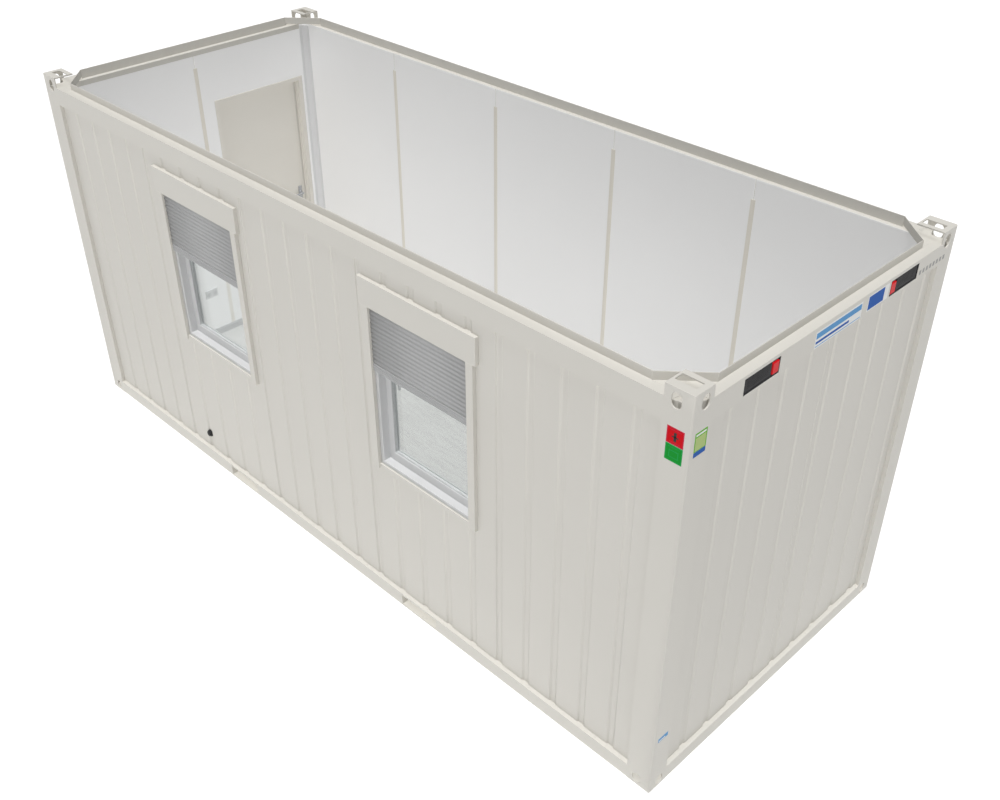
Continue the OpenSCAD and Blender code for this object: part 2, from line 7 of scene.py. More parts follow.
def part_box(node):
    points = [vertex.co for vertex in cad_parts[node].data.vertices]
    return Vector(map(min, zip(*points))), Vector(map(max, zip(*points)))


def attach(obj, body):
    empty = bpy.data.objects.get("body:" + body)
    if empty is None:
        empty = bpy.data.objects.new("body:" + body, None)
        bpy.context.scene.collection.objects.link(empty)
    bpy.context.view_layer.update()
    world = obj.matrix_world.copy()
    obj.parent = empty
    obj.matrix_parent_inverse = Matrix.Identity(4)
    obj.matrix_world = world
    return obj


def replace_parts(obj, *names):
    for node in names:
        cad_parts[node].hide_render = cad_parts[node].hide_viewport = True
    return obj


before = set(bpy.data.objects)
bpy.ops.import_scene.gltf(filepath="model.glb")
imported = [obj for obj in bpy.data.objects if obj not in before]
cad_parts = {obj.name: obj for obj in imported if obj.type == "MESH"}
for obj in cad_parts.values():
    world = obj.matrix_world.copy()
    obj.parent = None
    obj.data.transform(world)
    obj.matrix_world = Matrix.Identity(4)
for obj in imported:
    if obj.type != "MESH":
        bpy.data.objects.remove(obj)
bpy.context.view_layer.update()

# Studio: soft white light all round, a soft lamp high above the window side, and a stronger fill lamp
# there that casts no shadow. Two wide faint lamps light the deep room. The camera stands off the front
# right corner and looks down into the open cabin.
camera = bpy.data.objects.new("camera", bpy.data.cameras.new("camera"))
bpy.context.scene.collection.objects.link(camera)
camera.data.sensor_width = 36
camera.data.lens = 41.31
camera.data.shift_y = 0.0114
camera.data.clip_end = 200
turn, tilt = math.radians(45), math.radians(35.15)
back = Vector((math.sin(turn) * math.cos(tilt), -math.cos(turn) * math.cos(tilt), math.sin(tilt)))
camera.location = (5.3726, -4.7864, 5.6666)
camera.rotation_mode = "QUATERNION"
camera.rotation_quaternion = (-back).to_track_quat("-Z", "Y")
bpy.context.scene.camera = camera

world = bpy.data.worlds.new("soft white")
world.use_nodes = True
world.node_tree.nodes["Background"].inputs["Color"].default_value = (1.0, 0.995, 0.985, 1)
world.node_tree.nodes["Background"].inputs["Strength"].default_value = 0.22
bpy.context.scene.world = world
bpy.context.scene.view_settings.view_transform = "Standard"


def hung(name, kind, power, aim):
    """A lamp of a kind, turned as aim says."""
    lamp = bpy.data.objects.new(name, bpy.data.lights.new(name, kind))
    bpy.context.scene.collection.objects.link(lamp)
    lamp.data.energy = power
    lamp.rotation_mode = "QUATERNION"
    lamp.rotation_quaternion = aim
    return lamp


for name, power, spread, shadow in (("soft lamp", 0.55, 20, True), ("fill lamp", 2.65, 40, False)):
    lamp = hung(name, "SUN", power, Vector((0.13, -0.27, 0.97)).to_track_quat("Z", "Y"))
    lamp.data.angle = math.radians(spread)
    lamp.data.use_shadow = shadow
for name, power, spread, size, place, aim in (
        ("room lamp end", 5.0, 50, (1.8, 1.6), (2.88, 0.0, 1.3), (-1, 0, 0)),
        ("room lamp side", 2.9, 110, (5.2, 1.6), (0.0, -1.05, 1.2), (0, 1, 0))):
    lamp = hung(name, "AREA", power, Vector(aim).to_track_quat("-Z", "Y"))
    lamp.data.shape = "RECTANGLE"
    lamp.data.size, lamp.data.size_y = size
    lamp.data.spread = math.radians(spread)
    lamp.location = place
    lamp.visible_camera = lamp.visible_glossy = lamp.visible_transmission = False


class Pin:
    """A value on its way into a finish; sums and products of pins add the nodes for them."""

    def __init__(self, tree, socket=None):
        self.tree, self.socket = tree, socket

    def node(self, kind, settings=None, inputs=None, out=0):
        made = self.tree.nodes.new(kind)
        for name, value in (settings or {}).items():
            if name == "stops":
                ramp = made.color_ramp.elements
                ramp[0].position, ramp[1].position = value[0][0], value[-1][0]
                ramp[0].color, ramp[1].color = value[0][1], value[-1][1]
                for place, colour in value[1:-1]:
                    ramp.new(place).color = colour
            else:
                setattr(made, name, value)
        for name, value in (inputs or {}).items():
            if isinstance(value, Pin):
                self.tree.links.new(value.socket, made.inputs[name])
            else:
                made.inputs[name].default_value = value
        return Pin(self.tree, made.outputs[out] if made.outputs else None)

    def sum(self, kind, *values):
        return self.node("ShaderNodeMath", {"operation": kind}, dict(enumerate(values)))

    def __add__(self, other):
        return self.sum("ADD", self, other)

    def __sub__(self, other):
        return self.sum("SUBTRACT", self, other)

    def __rsub__(self, other):
        return self.sum("SUBTRACT", other, self)

    def __mul__(self, other):
        return self.sum("MULTIPLY", self, other)

    def __truediv__(self, other):
        return self.sum("DIVIDE", self, other)

    def __lt__(self, other):
        return self.sum("LESS_THAN", self, other)

    def __gt__(self, other):
        return self.sum("GREATER_THAN", self, other)

    __radd__, __rmul__ = __add__, __mul__

    def size(self):
        return self.sum("ABSOLUTE", self)

    def step(self, low, high):
        """0 below low, 1 above high, smooth between."""
        return self.node("ShaderNodeMapRange", {"interpolation_type": "SMOOTHSTEP"},
                         {0: self, 1: low, 2: high, 3: 0.0, 4: 1.0})

    def part(self, axis):
        return self.node("ShaderNodeSeparateXYZ", None, {0: self}, "XYZ".index(axis))

    def stretched(self, x, y, z):
        return self.node("ShaderNodeMapping", None, {"Vector": self, "Scale": (x, y, z)})

    def cloud(self, scale, detail=3.0):
        return self.node("ShaderNodeTexNoise", None, {"Vector": self, "Scale": scale, "Detail": detail})

    def tint(self, dark, light):
        """A colour between dark and light, by this value."""
        return self.node("ShaderNodeMix", {"data_type": "RGBA"}, {
            0: self,
            6: dark if isinstance(dark, Pin) else (*dark, 1.0),
            7: light if isinstance(light, Pin) else (*light, 1.0)}, 2)


def finish(name, surface, relief=None, depth=0.0002):
    """A material: surface is called with the place on the object and gives the shader's sockets."""
    material = bpy.data.materials.new(name)
    material.use_nodes = True
    tree = material.node_tree
    tree.nodes.clear()
    place = Pin(tree).node("ShaderNodeTexCoord", out="Object")
    sockets = surface(place)
    if relief:
        sockets["Normal"] = place.node("ShaderNodeBump", None, {
            "Height": relief(place), "Distance": depth, "Strength": 1.0})
    shader = place.node("ShaderNodeBsdfPrincipled", None, {
        k: (*v, 1.0) if isinstance(v, tuple) and len(v) == 3 else v for k, v in sockets.items()})
    shader.node("ShaderNodeOutputMaterial", None, {"Surface": shader})
    return material


def cream(place, light, dark, rough):
    """Cream paint: it clouds a little over a metre, dulls in patches, and has faint scuffs low down."""
    patches = place.cloud(1.3, 4.0)
    specks = place.cloud(55.0, 2.0).step(0.66, 0.74)
    low = 1 - place.part("Z").step(0.03, 0.35)
    scuffs = place.stretched(9.0, 9.0, 40.0).cloud(3.0, 5.0).step(0.6, 0.72) * low
    worn = (patches * 0.9).step(0.3, 0.62)
    colour = worn.tint(dark, light)
    colour = (specks * 0.05 + scuffs * 0.22).tint(colour, tuple(v * 0.62 for v in dark))
    return {"Base Color": colour, "Roughness": rough + patches * 0.1 + scuffs * 0.12}


# Floor of the studio, a plain pale sheet.
ground = bmesh.new()
bmesh.ops.create_grid(ground, x_segments=2, y_segments=2, size=60)
sheet = bpy.data.meshes.new("studio floor")
ground.to_mesh(sheet)
studio = bpy.data.objects.new("studio_floor", sheet)
bpy.context.scene.collection.objects.link(studio)
sheet.materials.append(finish("studio white", lambda place: {
    "Base Color": (0.93, 0.93, 0.93), "Roughness": 0.9,
    "Emission Color": (1.0, 1.0, 1.0), "Emission Strength": 0.06}))

# Steel frame: the posts and rails are rolled and folded plate, welded up, with cast corner fittings
# top and bottom, and sprayed cream with the welds. Every edge is a bend or is ground off a little.
frame_paint = finish(
    "frame paint",
    lambda place: cream(place, (0.608, 0.591, 0.547), (0.596, 0.579, 0.535), 0.46),
    lambda place: place.cloud(260.0, 2.0), 0.0001)


def show(name, bm, material, body="cabin", mods=()):
    """Hands a finished mesh over as a piece that rides on a body."""
    mesh = bpy.data.meshes.new(name)
    bm.to_mesh(mesh)
    bm.free()
    mesh.materials.append(material)
    piece = bpy.data.objects.new(name, mesh)
    bpy.context.scene.collection.objects.link(piece)
    for kind, settings in mods:
        mod = piece.modifiers.new(kind.lower(), kind)
        for key, value in settings.items():
            setattr(mod, key, value)
    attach(piece, body)
    return piece


def softened(node, material, width, body="cabin", segments=2, angle=35, flush=()):
    """The node again with its sharp edges rounded; edges in a flush plane stay as butted joints."""
    bm = bmesh.new()
    bm.from_mesh(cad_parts[node].data)
    bmesh.ops.remove_doubles(bm, verts=bm.verts, dist=0.00004)
    for face in bm.faces:
        face.smooth = any(math.radians(1) < e.calc_face_angle(0.0) < math.radians(30) for e in face.edges)
    hard = []
    for edge in bm.edges:
        butted = any(all(abs(abs(v.co["xyz".index(axis)]) - at) < 0.00006 for v in edge.verts)
                     for axis, at in flush)
        if edge.calc_face_angle(0.0) > math.radians(angle) and not butted:
            hard.append(edge)
    made = bmesh.ops.bevel(bm, geom=hard, offset=width, offset_type="OFFSET", segments=segments, profile=0.5,
                           affect="EDGES", clamp_overlap=False, material=-1, loop_slide=False)
    for face in made["faces"]:
        face.smooth = True
    low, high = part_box(node)
    for vert in bm.verts:
        vert.co = [min(max(v, a), b) for v, a, b in zip(vert.co, low, high)]
    piece = show(node + "_rounded", bm, material, body)
    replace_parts(piece, node)
    return piece


# planes where the rails butt against the posts, and where the fittings stand on them
welds = (("x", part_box("base_rail_front")[1].x), ("y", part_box("base_rail_right")[1].y),
         ("z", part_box("roof_corner_front_right")[0].z), ("z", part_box("base_rail_front")[1].z))
for side in ("front", "back", "left", "right"):
    softened("base_rail_" + side, frame_paint, 0.0014, flush=welds[:2])
    softened("roof_rail_" + side, frame_paint, 0.0014, flush=welds[:2])
for corner in ("front_left", "front_right", "back_left", "back_right"):
    softened("corner_post_" + corner, frame_paint, 0.0018, flush=welds)
    softened("roof_corner_" + corner, frame_paint, 0.0018, flush=welds)


def bar(bm, low, high, soft=0.0, steps=2):
    """A bar from one corner to the other with its edges rounded."""
    low, high = Vector(low), Vector(high)
    made = bmesh.ops.create_cube(bm, size=1.0)["verts"]
    bmesh.ops.scale(bm, vec=high - low, verts=made)
    bmesh.ops.translate(bm, vec=(low + high) / 2, verts=made)
    if soft:
        edges = {e for v in made for e in v.link_edges}
        bmesh.ops.bevel(bm, geom=list(edges), offset=soft, segments=steps, profile=0.5,
                        affect="EDGES", material=-1, clamp_overlap=True)


# Underside: galvanised sheet between the joists, with the two fork sleeves welded across it, which are
# sprayed with the frame. The zinc keeps its grey flakes and has gone dull where it was welded.
def zinc(place):
    flakes = place.node("ShaderNodeTexVoronoi", None, {"Vector": place, "Scale": 45.0}, 1)
    shine = place.node("ShaderNodeSeparateColor", None, {0: flakes}, 0)
    dull = place.cloud(2.0, 4.0)
    return {"Base Color": (shine * 0.5 + dull * 0.5).tint((0.36, 0.37, 0.38), (0.52, 0.53, 0.54)),
            "Metallic": 0.75, "Roughness": 0.38 + shine * 0.16 + dull * 0.1}


underside = finish("galvanised sheet", zinc, lambda place: place.cloud(90.0), 0.0002)
for node in ("floor_pan_left", "floor_pan_middle", "floor_pan_right"):
    softened(node, underside, 0.001)
for node in ("fork_sleeve_left", "fork_sleeve_right"):
    softened(node, frame_paint, 0.001)


# Floor: hard vinyl glued to the board, pale grey-beige with long fine streaks and small flecks.
def vinyl(place):
    streaks = place.stretched(1.2, 14.0, 14.0).cloud(3.2, 6.0)
    flecks = place.cloud(160.0, 2.0).step(0.6, 0.68)
    worn = place.cloud(0.9, 3.0)
    colour = streaks.step(0.3, 0.7).tint((0.40, 0.397, 0.385), (0.47, 0.467, 0.453))
    return {"Base Color": (flecks * 0.16).tint(colour, (0.32, 0.315, 0.305)),
            "Roughness": 0.34 + worn * 0.2}


floor_vinyl = finish("streaked vinyl", vinyl, lambda place: place.cloud(220.0, 2.0), 0.0001)
softened("floor_board", floor_vinyl, 0.001)

# Wall panels: steel skins on an insulating core, rolled with wide shallow grooves outside and coated
# cream; the inside face is smooth board coated white.
inner_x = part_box("floor_board")[1].x
inner_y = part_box("floor_board")[1].y


def panel_skin(place):
    inside = (place.part("X").size() < inner_x + 0.001) * (place.part("Y").size() < inner_y + 0.001)
    outer = cream(place, (0.606, 0.589, 0.547), (0.594, 0.577, 0.535), 0.5)
    clouds = place.cloud(0.8, 3.0)
    board = clouds.step(0.3, 0.7).tint((0.905, 0.905, 0.905), (0.915, 0.915, 0.915))
    return {"Base Color": inside.tint(outer["Base Color"], board),
            "Roughness": outer["Roughness"] * (1 - inside) + inside * (0.36 + clouds * 0.1)}


panel_coat = finish("panel coating", panel_skin, lambda place: place.cloud(180.0, 2.0), 0.0001)
for node in [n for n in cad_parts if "panel" in n]:
    softened(node, panel_coat, 0.005, segments=3, angle=30)

# Joint strips: cream pressed strips that cover the joints between the panels inside, from the
# skirting up to where the ceiling would lie.
strip_paint = finish(
    "strip paint",
    lambda place: cream(place, (0.77, 0.738, 0.670), (0.75, 0.718, 0.650), 0.4),
    lambda place: place.cloud(150.0), 0.0001)
floor_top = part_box("floor_board")[1].z
skirt_top = floor_top + 0.066
joint_x = [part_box("front_panel_%d" % i)[1].x for i in (1, 2, 3, 4)]
strip_top = 2.567
strips = bmesh.new()
for x in joint_x:
    for side in (-1, 1):
        for half, out in ((0.0175, 0.0025), (0.0105, 0.0045)):
            y = sorted((side * inner_y, side * (inner_y - out)))
            bar(strips, (x - half, y[0], skirt_top), (x + half, y[1], strip_top), 0.001)
for side in (-1, 1):
    for half, out in ((0.0175, 0.0025), (0.0105, 0.0045)):
        x = sorted((side * inner_x, side * (inner_x - out)))
        bar(strips, (x[0], -half, skirt_top), (x[1], half, strip_top), 0.001)
show("joint_strips", strips, strip_paint)

# Head strips: flat steel strips in the frame's paint, screwed along the top of both end walls inside,
# where the ceiling's edge would rest.
head_strips = bmesh.new()
head_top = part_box("left_panel_1")[1].z
head_end = inner_y - 0.06
for side in (-1, 1):
    x = sorted((side * inner_x, side * (inner_x - 0.003)))
    bar(head_strips, (x[0], -head_end, head_top - 0.042), (x[1], head_end, head_top - 0.002), 0.0008)
show("head_strips", head_strips, frame_paint)

# Corner profiles: white folded profiles in the four corners of the room, a leg on each wall and a
# slanted face between.
white_coat = finish(
    "white coat",
    lambda place: {"Base Color": place.cloud(1.1).tint((0.66, 0.665, 0.67), (0.71, 0.71, 0.715)),
                   "Roughness": 0.34 + place.cloud(6.0) * 0.1},
    lambda place: place.cloud(140.0), 0.0001)
leg, fold, sheet_t = 0.058, 0.034, 0.004
ring = [(0.0, 0.0), (leg, 0.0), (leg, sheet_t), (fold, sheet_t), (sheet_t, fold), (sheet_t, leg), (0.0, leg)]
profile_top = 2.69


def drawn(bm, corners, run):
    """A section with these corners, drawn out along run."""
    section = bm.faces.new([bm.verts.new(corner) for corner in corners])
    ends = bmesh.ops.extrude_face_region(bm, geom=[section])["geom"]
    bmesh.ops.translate(bm, vec=run, verts=[v for v in ends if isinstance(v, bmesh.types.BMVert)])


profiles = bmesh.new()
for sx in (-1, 1):
    for sy in (-1, 1):
        drawn(profiles, [(sx * (inner_x - a), sy * (inner_y - b), skirt_top) for a, b in ring],
              (0, 0, profile_top - skirt_top))
bmesh.ops.recalc_face_normals(profiles, faces=profiles.faces)
show("corner_profiles", profiles, white_coat,
     mods=[("BEVEL", {"width": 0.0015, "segments": 2})])

# Skirting: grey plastic, 66 mm high, clipped along the foot of every wall and stopped at the door.
skirt_grey = finish(
    "skirting plastic",
    lambda place: {"Base Color": place.cloud(3.0).tint((0.36, 0.365, 0.37), (0.42, 0.425, 0.43)),
                   "Roughness": 0.42 + place.cloud(30.0) * 0.12},
    lambda place: place.stretched(1.0, 1.0, 30.0).cloud(12.0), 0.0002)
door_low, door_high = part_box("door_frame")
skirt_steps = ((0.011, skirt_top - 0.012), (0.007, skirt_top))
skirting = bmesh.new()
for side in (-1, 1):
    for out, top in skirt_steps:
        y = sorted((side * inner_y, side * (inner_y - out)))
        bar(skirting, (-inner_x, y[0], floor_top), (inner_x, y[1], top), 0.0022)
for side, y0, y1 in ((1, -inner_y, inner_y), (-1, -inner_y, door_low.y), (-1, door_high.y, inner_y)):
    for out, top in skirt_steps:
        x = sorted((side * inner_x, side * (inner_x - out)))
        bar(skirting, (x[0], y0, floor_top), (x[1], y1, top), 0.0022)
show("skirting", skirting, skirt_grey)

# Windows: white plastic frames with a tilting sash set back in them, beads and grey seals round a
# sealed glass unit of two panes on a coated spacer. The handle is on the sash inside.
pvc = finish(
    "white plastic",
    lambda place: {"Base Color": place.cloud(2.0).tint((0.545, 0.549, 0.552), (0.575, 0.579, 0.582)),
                   "Roughness": 0.26 + place.cloud(9.0) * 0.12},
    lambda place: place.cloud(120.0), 0.00008)


def rubber(name, dark, light):
    return finish(
        name,
        lambda place: {"Base Color": place.cloud(20.0).tint(dark, light),
                       "Roughness": 0.62 + place.cloud(60.0) * 0.2},
        lambda place: place.cloud(300.0), 0.0001)


seal_rubber = rubber("seal rubber", (0.40, 0.405, 0.41), (0.46, 0.465, 0.47))
spacer_metal = finish(
    "coated spacer",
    lambda place: {"Base Color": place.cloud(40.0).tint((0.55, 0.56, 0.56), (0.62, 0.63, 0.63)),
                   "Metallic": 0.1, "Roughness": 0.4 + place.cloud(80.0) * 0.15},
    lambda place: place.cloud(200.0), 0.00005)
glass = finish(
    "pale green glass",
    lambda place: {"Base Color": place.cloud(1.5).tint((0.875, 0.893, 0.893), (0.888, 0.903, 0.903)),
                   "Roughness": 0.015 + place.cloud(4.0).step(0.5, 0.9) * 0.02,
                   "Transmission Weight": 1.0, "IOR": 1.3})


def loop(bm, low, high, wide, y0, y1, soft=0.0006):
    """Four bars round a rectangle, wide inwards, from y0 to y1."""
    bar(bm, (low[0], y0, low[1]), (high[0], y1, low[1] + wide), soft)
    bar(bm, (low[0], y0, high[1] - wide), (high[0], y1, high[1]), soft)
    bar(bm, (low[0], y0, low[1] + wide), (low[0] + wide, y1, high[1] - wide), soft)
    bar(bm, (high[0] - wide, y0, low[1] + wide), (high[0], y1, high[1] - wide), soft)


def grown(low, high, by):
    return (low[0] - by, low[1] - by), (high[0] + by, high[1] + by)


sash_side, sash_foot = 0.046, 0.061
pane_t = 0.004
handle_z = 1.745
for hand in ("left", "right"):
    softened("window_frame_" + hand, pvc, 0.003, segments=3)
    g0, g1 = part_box("window_glass_" + hand)
    f0, f1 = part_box("window_frame_" + hand)
    low, high = (g0.x, g0.z), (g1.x, g1.z)
    panes = bmesh.new()
    for y in (g0.y, g1.y - pane_t):
        bar(panes, (g0.x, y, g0.z), (g1.x, y + pane_t, g1.z), 0.0003, 1)
    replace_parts(show("window_panes_" + hand, panes, glass), "window_glass_" + hand)
    spacer = bmesh.new()
    loop(spacer, low, high, 0.005, g0.y + 0.0045, g1.y - 0.0045)
    show("glass_spacer_" + hand, spacer, spacer_metal)
    seals = bmesh.new()
    for y in (g0.y - 0.0025, g1.y):
        loop(seals, low, high, 0.003, y, y + 0.0025, 0.0008)
    sash_low, sash_high = (g0.x - sash_side, g0.z - sash_foot), (g1.x + sash_side, g1.z + sash_side)
    loop(seals, sash_low, sash_high, 0.004, f1.y - 0.0485, f1.y - 0.0475, 0.0004)
    show("window_seals_" + hand, seals, seal_rubber)
    beads = bmesh.new()
    loop(beads, low, high, 0.010, g1.y + 0.0025, g1.y + 0.0105, 0.003)
    loop(beads, *grown(sash_low, sash_high, 0.012), 0.015, f1.y - 0.0235, f1.y - 0.002, 0.003)
    show("glazing_beads_" + hand, beads, pvc)
    # handle on the sash: a rounded plate, a neck and a bar that hangs down
    handle = bmesh.new()
    x = g0.x - 0.023 if hand == "right" else g1.x + 0.023
    bar(handle, (x - 0.014, f1.y, handle_z), (x + 0.014, f1.y + 0.009, handle_z + 0.070), 0.004, 3)
    bar(handle, (x - 0.010, f1.y + 0.006, handle_z + 0.023), (x + 0.010, f1.y + 0.042, handle_z + 0.045),
        0.005, 3)
    bar(handle, (x - 0.009, f1.y + 0.034, handle_z - 0.077), (x + 0.009, f1.y + 0.050, handle_z + 0.049),
        0.0055, 3)
    show("window_handle_" + hand, handle, pvc)
    # hinge covers on the other side of the sash, and drain caps low on the outside
    caps = bmesh.new()
    far = g1.x + 0.044 if hand == "right" else g0.x - 0.044
    for z in (g0.z - 0.02, g1.z - 0.05):
        bar(caps, (far - 0.009, f1.y - 0.001, z), (far + 0.009, f1.y + 0.015, z + 0.07), 0.004, 3)
    for dx in (-0.22, 0.22):
        middle = (g0.x + g1.x) / 2 + dx
        bar(caps, (middle - 0.017, f0.y - 0.0025, f0.z + 0.029), (middle + 0.017, f0.y + 0.001, f0.z + 0.040),
            0.0012, 2)
    show("window_caps_" + hand, caps, pvc)

# Roller shutters: a cream folded box over each window with side rails and a trim below, screwed to
# the panel, and a curtain of hollow grey slats that hook into each other, let down part of the way.
box_paint = finish(
    "shutter box paint",
    lambda place: cream(place, (0.608, 0.591, 0.547), (0.596, 0.579, 0.535), 0.44),
    lambda place: place.cloud(240.0), 0.0001)


def slat_coat(place):
    dust = place.cloud(7.0, 4.0)
    return {"Base Color": dust.tint((0.325, 0.327, 0.33), (0.365, 0.367, 0.37)),
            "Roughness": 0.46 + dust * 0.16}


slat_grey = finish("slat coating", slat_coat,
                   lambda place: place.stretched(1.0, 20.0, 20.0).cloud(16.0), 0.0001)
screw_zinc = finish(
    "screw zinc",
    lambda place: {"Base Color": place.cloud(90.0).tint((0.60, 0.59, 0.56), (0.70, 0.69, 0.66)),
                   "Metallic": 0.3, "Roughness": 0.36 + place.cloud(50.0) * 0.2},
    lambda place: place.cloud(400.0), 0.00005)


def turned(bm, axis, centre, radius1, radius2, depth, segments=32):
    """A turned disc or stub whose axis lies along X, by axis "Y", or along Y, by axis "X"."""
    made = bmesh.ops.create_cone(bm, cap_ends=True, segments=segments, radius1=radius1, radius2=radius2,
                                 depth=depth)["verts"]
    bmesh.ops.rotate(bm, cent=(0, 0, 0), matrix=Matrix.Rotation(math.radians(90), 3, axis), verts=made)
    bmesh.ops.translate(bm, vec=centre, verts=made)


slats, slat_points, slat_bow = 13, 10, 0.0058
foot_rail, box_front = 0.052, 0.184
grooves, groove_shift = 5, 0.022
wall_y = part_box("front_panel_3")[0].y
screw_rows = (1.18, 1.45, 1.72, 1.99, 2.26)
for hand in ("left", "right"):
    softened("shutter_box_" + hand, box_paint, 0.0016)
    c0, c1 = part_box("shutter_curtain_" + hand)
    b0, b1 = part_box("shutter_box_" + hand)
    middle = (c0.x + c1.x) / 2
    curtain = bmesh.new()
    face_y, deep = c0.y, c1.y - c0.y
    foot = c0.z + foot_rail
    pitch = (b1.z - box_front - foot) / slats
    section, step = [(c1.z, deep), (foot, deep)], 0
    while foot + step * pitch / slat_points < c1.z:
        bow = 0.5 - 0.5 * math.cos(2 * math.pi * step / slat_points)
        section.append((foot + step * pitch / slat_points, slat_bow * (1 - bow)))
        step += 1
    drawn(curtain, [(c0.x, face_y + y, z) for z, y in section], (c1.x - c0.x, 0, 0))
    for face in curtain.faces:
        face.smooth = len(face.verts) == 4
    for up, thick in ((0.004, 0.0105), (0.0195, 0.0105), (0.035, 0.0155)):
        bar(curtain, (c0.x, face_y + 0.0002, c0.z + up), (c1.x, c1.y, c0.z + up + thick), 0.0018, 3)
    bar(curtain, (c0.x, face_y + 0.0048, c0.z + 0.006), (c1.x, c1.y - 0.0005, c0.z + 0.048))
    bmesh.ops.recalc_face_normals(curtain, faces=curtain.faces)
    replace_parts(show("shutter_slats_" + hand, curtain, slat_grey),
                "shutter_curtain_" + hand)
    lip = bmesh.new()
    bar(lip, (c0.x + 0.001, face_y + 0.001, c0.z), (c1.x - 0.001, c1.y - 0.001, c0.z + 0.005), 0.001)
    show("shutter_lip_" + hand, lip, seal_rubber)
    # closers that fill the panels' grooves under the box's top, brush strips in the rails, screws
    trim = bmesh.new()
    pitch = (joint_x[1] - joint_x[0]) / grooves
    for step in range(20):
        x = joint_x[0] + groove_shift + step * pitch
        if b0.x + 0.027 < x < b1.x - 0.027:
            top = [(x - 0.0275, wall_y - 0.002), (x + 0.0275, wall_y - 0.002), (x + 0.0185, wall_y + 0.0085),
                   (x - 0.0185, wall_y + 0.0085)]
            drawn(trim, [(a, y, b1.z - 0.022) for a, y in top], (0, 0, 0.0215))
    bmesh.ops.recalc_face_normals(trim, faces=trim.faces)
    for s in (-1, 1):
        rail = middle + s * (c1.x - c0.x) / 2
        x = sorted((rail - s * 0.0002, rail - s * 0.003))
        bar(trim, (x[0], face_y - 0.004, b0.z + 0.04), (x[1], face_y - 0.0015, b1.z - box_front - 0.0005),
            0.0004)
    show("shutter_trim_" + hand, trim, box_paint)
    screws = bmesh.new()
    for s in (-1, 1):
        for z in screw_rows:
            turned(screws, "X", (middle + s * ((c1.x - c0.x) / 2 + 0.034), b0.y + 0.0013, z), 0.0036,
                   0.0036 * 0.62, 0.0022, 16)
    show("shutter_screws_" + hand, screws, screw_zinc)

# Door: a cream steel leaf in a folded steel frame, hung on three lift-off hinges at its right, with a
# rubber seal in the frame, a lever on a long plate inside and a sunk turning handle outside.
door_paint = finish(
    "door paint",
    lambda place: cream(place, (0.735, 0.710, 0.655), (0.715, 0.690, 0.635), 0.38),
    lambda place: place.cloud(200.0), 0.0001)
softened("door_frame", door_paint, 0.0016, segments=2)
softened("door_leaf", door_paint, 0.0012, "door", 2)
leaf_low, leaf_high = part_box("door_leaf")
handle_low, handle_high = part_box("door_handle")
lever_y = handle_high.y - 0.019
lever_z = handle_high.z - 0.062
leaf_x = leaf_high.x

metal = finish(
    "brushed metal",
    lambda place: {"Base Color": place.stretched(1.0, 1.0, 16.0).cloud(60.0, 4.0).tint(
        (0.40, 0.41, 0.43), (0.62, 0.63, 0.65)), "Metallic": 0.9,
        "Roughness": 0.28 + place.stretched(1.0, 30.0, 2.0).cloud(40.0) * 0.2},
    lambda place: place.stretched(1.0, 2.0, 60.0).cloud(30.0), 0.0001)
black_plastic = finish(
    "black plastic",
    lambda place: {"Base Color": place.cloud(14.0).tint((0.018, 0.018, 0.019), (0.036, 0.036, 0.038)),
                   "Specular IOR Level": 0.12, "Roughness": 0.42 + place.cloud(40.0) * 0.2},
    lambda place: place.cloud(420.0), 0.0002)

lever = bmesh.new()
bar(lever, (leaf_x, lever_y - 0.019, handle_low.z), (leaf_x + 0.008, lever_y + 0.019, handle_high.z),
    0.0035, 3)
turned(lever, "Y", (leaf_x + 0.026, lever_y, lever_z), 0.012, 0.0095, 0.040)
bar(lever, (leaf_x + 0.036, lever_y - 0.126, lever_z - 0.0095),
    (leaf_x + 0.053, lever_y + 0.010, lever_z + 0.0095), 0.0075, 4)
turned(lever, "Y", (leaf_x + 0.0100, lever_y, lever_z), 0.016, 0.014, 0.005)
for z in (handle_high.z - 0.014, handle_low.z + 0.014):
    turned(lever, "Y", (leaf_x + 0.0088, lever_y, z), 0.0045, 0.003, 0.0024, 16)
turned(lever, "Y", (leaf_x + 0.0075, lever_y, lever_z - 0.072), 0.0088, 0.0088, 0.010, 24)
bar(lever, (leaf_x + 0.003, lever_y - 0.005, lever_z - 0.094),
    (leaf_x + 0.0125, lever_y + 0.005, lever_z - 0.076), 0.003, 3)
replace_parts(show("door_lever", lever, metal, "door"), "door_handle")
# outside: the turning bar in its dished cup
cup_x = leaf_low.x
turner = bmesh.new()
bar(turner, (cup_x + 0.002, lever_y - 0.042, lever_z - 0.010),
    (cup_x + 0.010, lever_y + 0.042, lever_z + 0.010), 0.004, 3)
turned(turner, "Y", (cup_x + 0.012, lever_y, lever_z), 0.018, 0.015, 0.016)
show("door_turner", turner, metal, "door")
# rubber seal in the rebate of the frame, which the closed leaf presses on
pale_rubber = rubber("pale seal rubber", (0.60, 0.585, 0.545), (0.66, 0.645, 0.605))
rebate = bmesh.new()
for y in (leaf_low.y + 0.022, leaf_high.y - 0.028):
    bar(rebate, (leaf_x + 0.0006, y, leaf_low.z + 0.03),
        (leaf_x + 0.0046, y + 0.006, leaf_high.z - 0.02), 0.0015)
show("door_seal", rebate, pale_rubber)

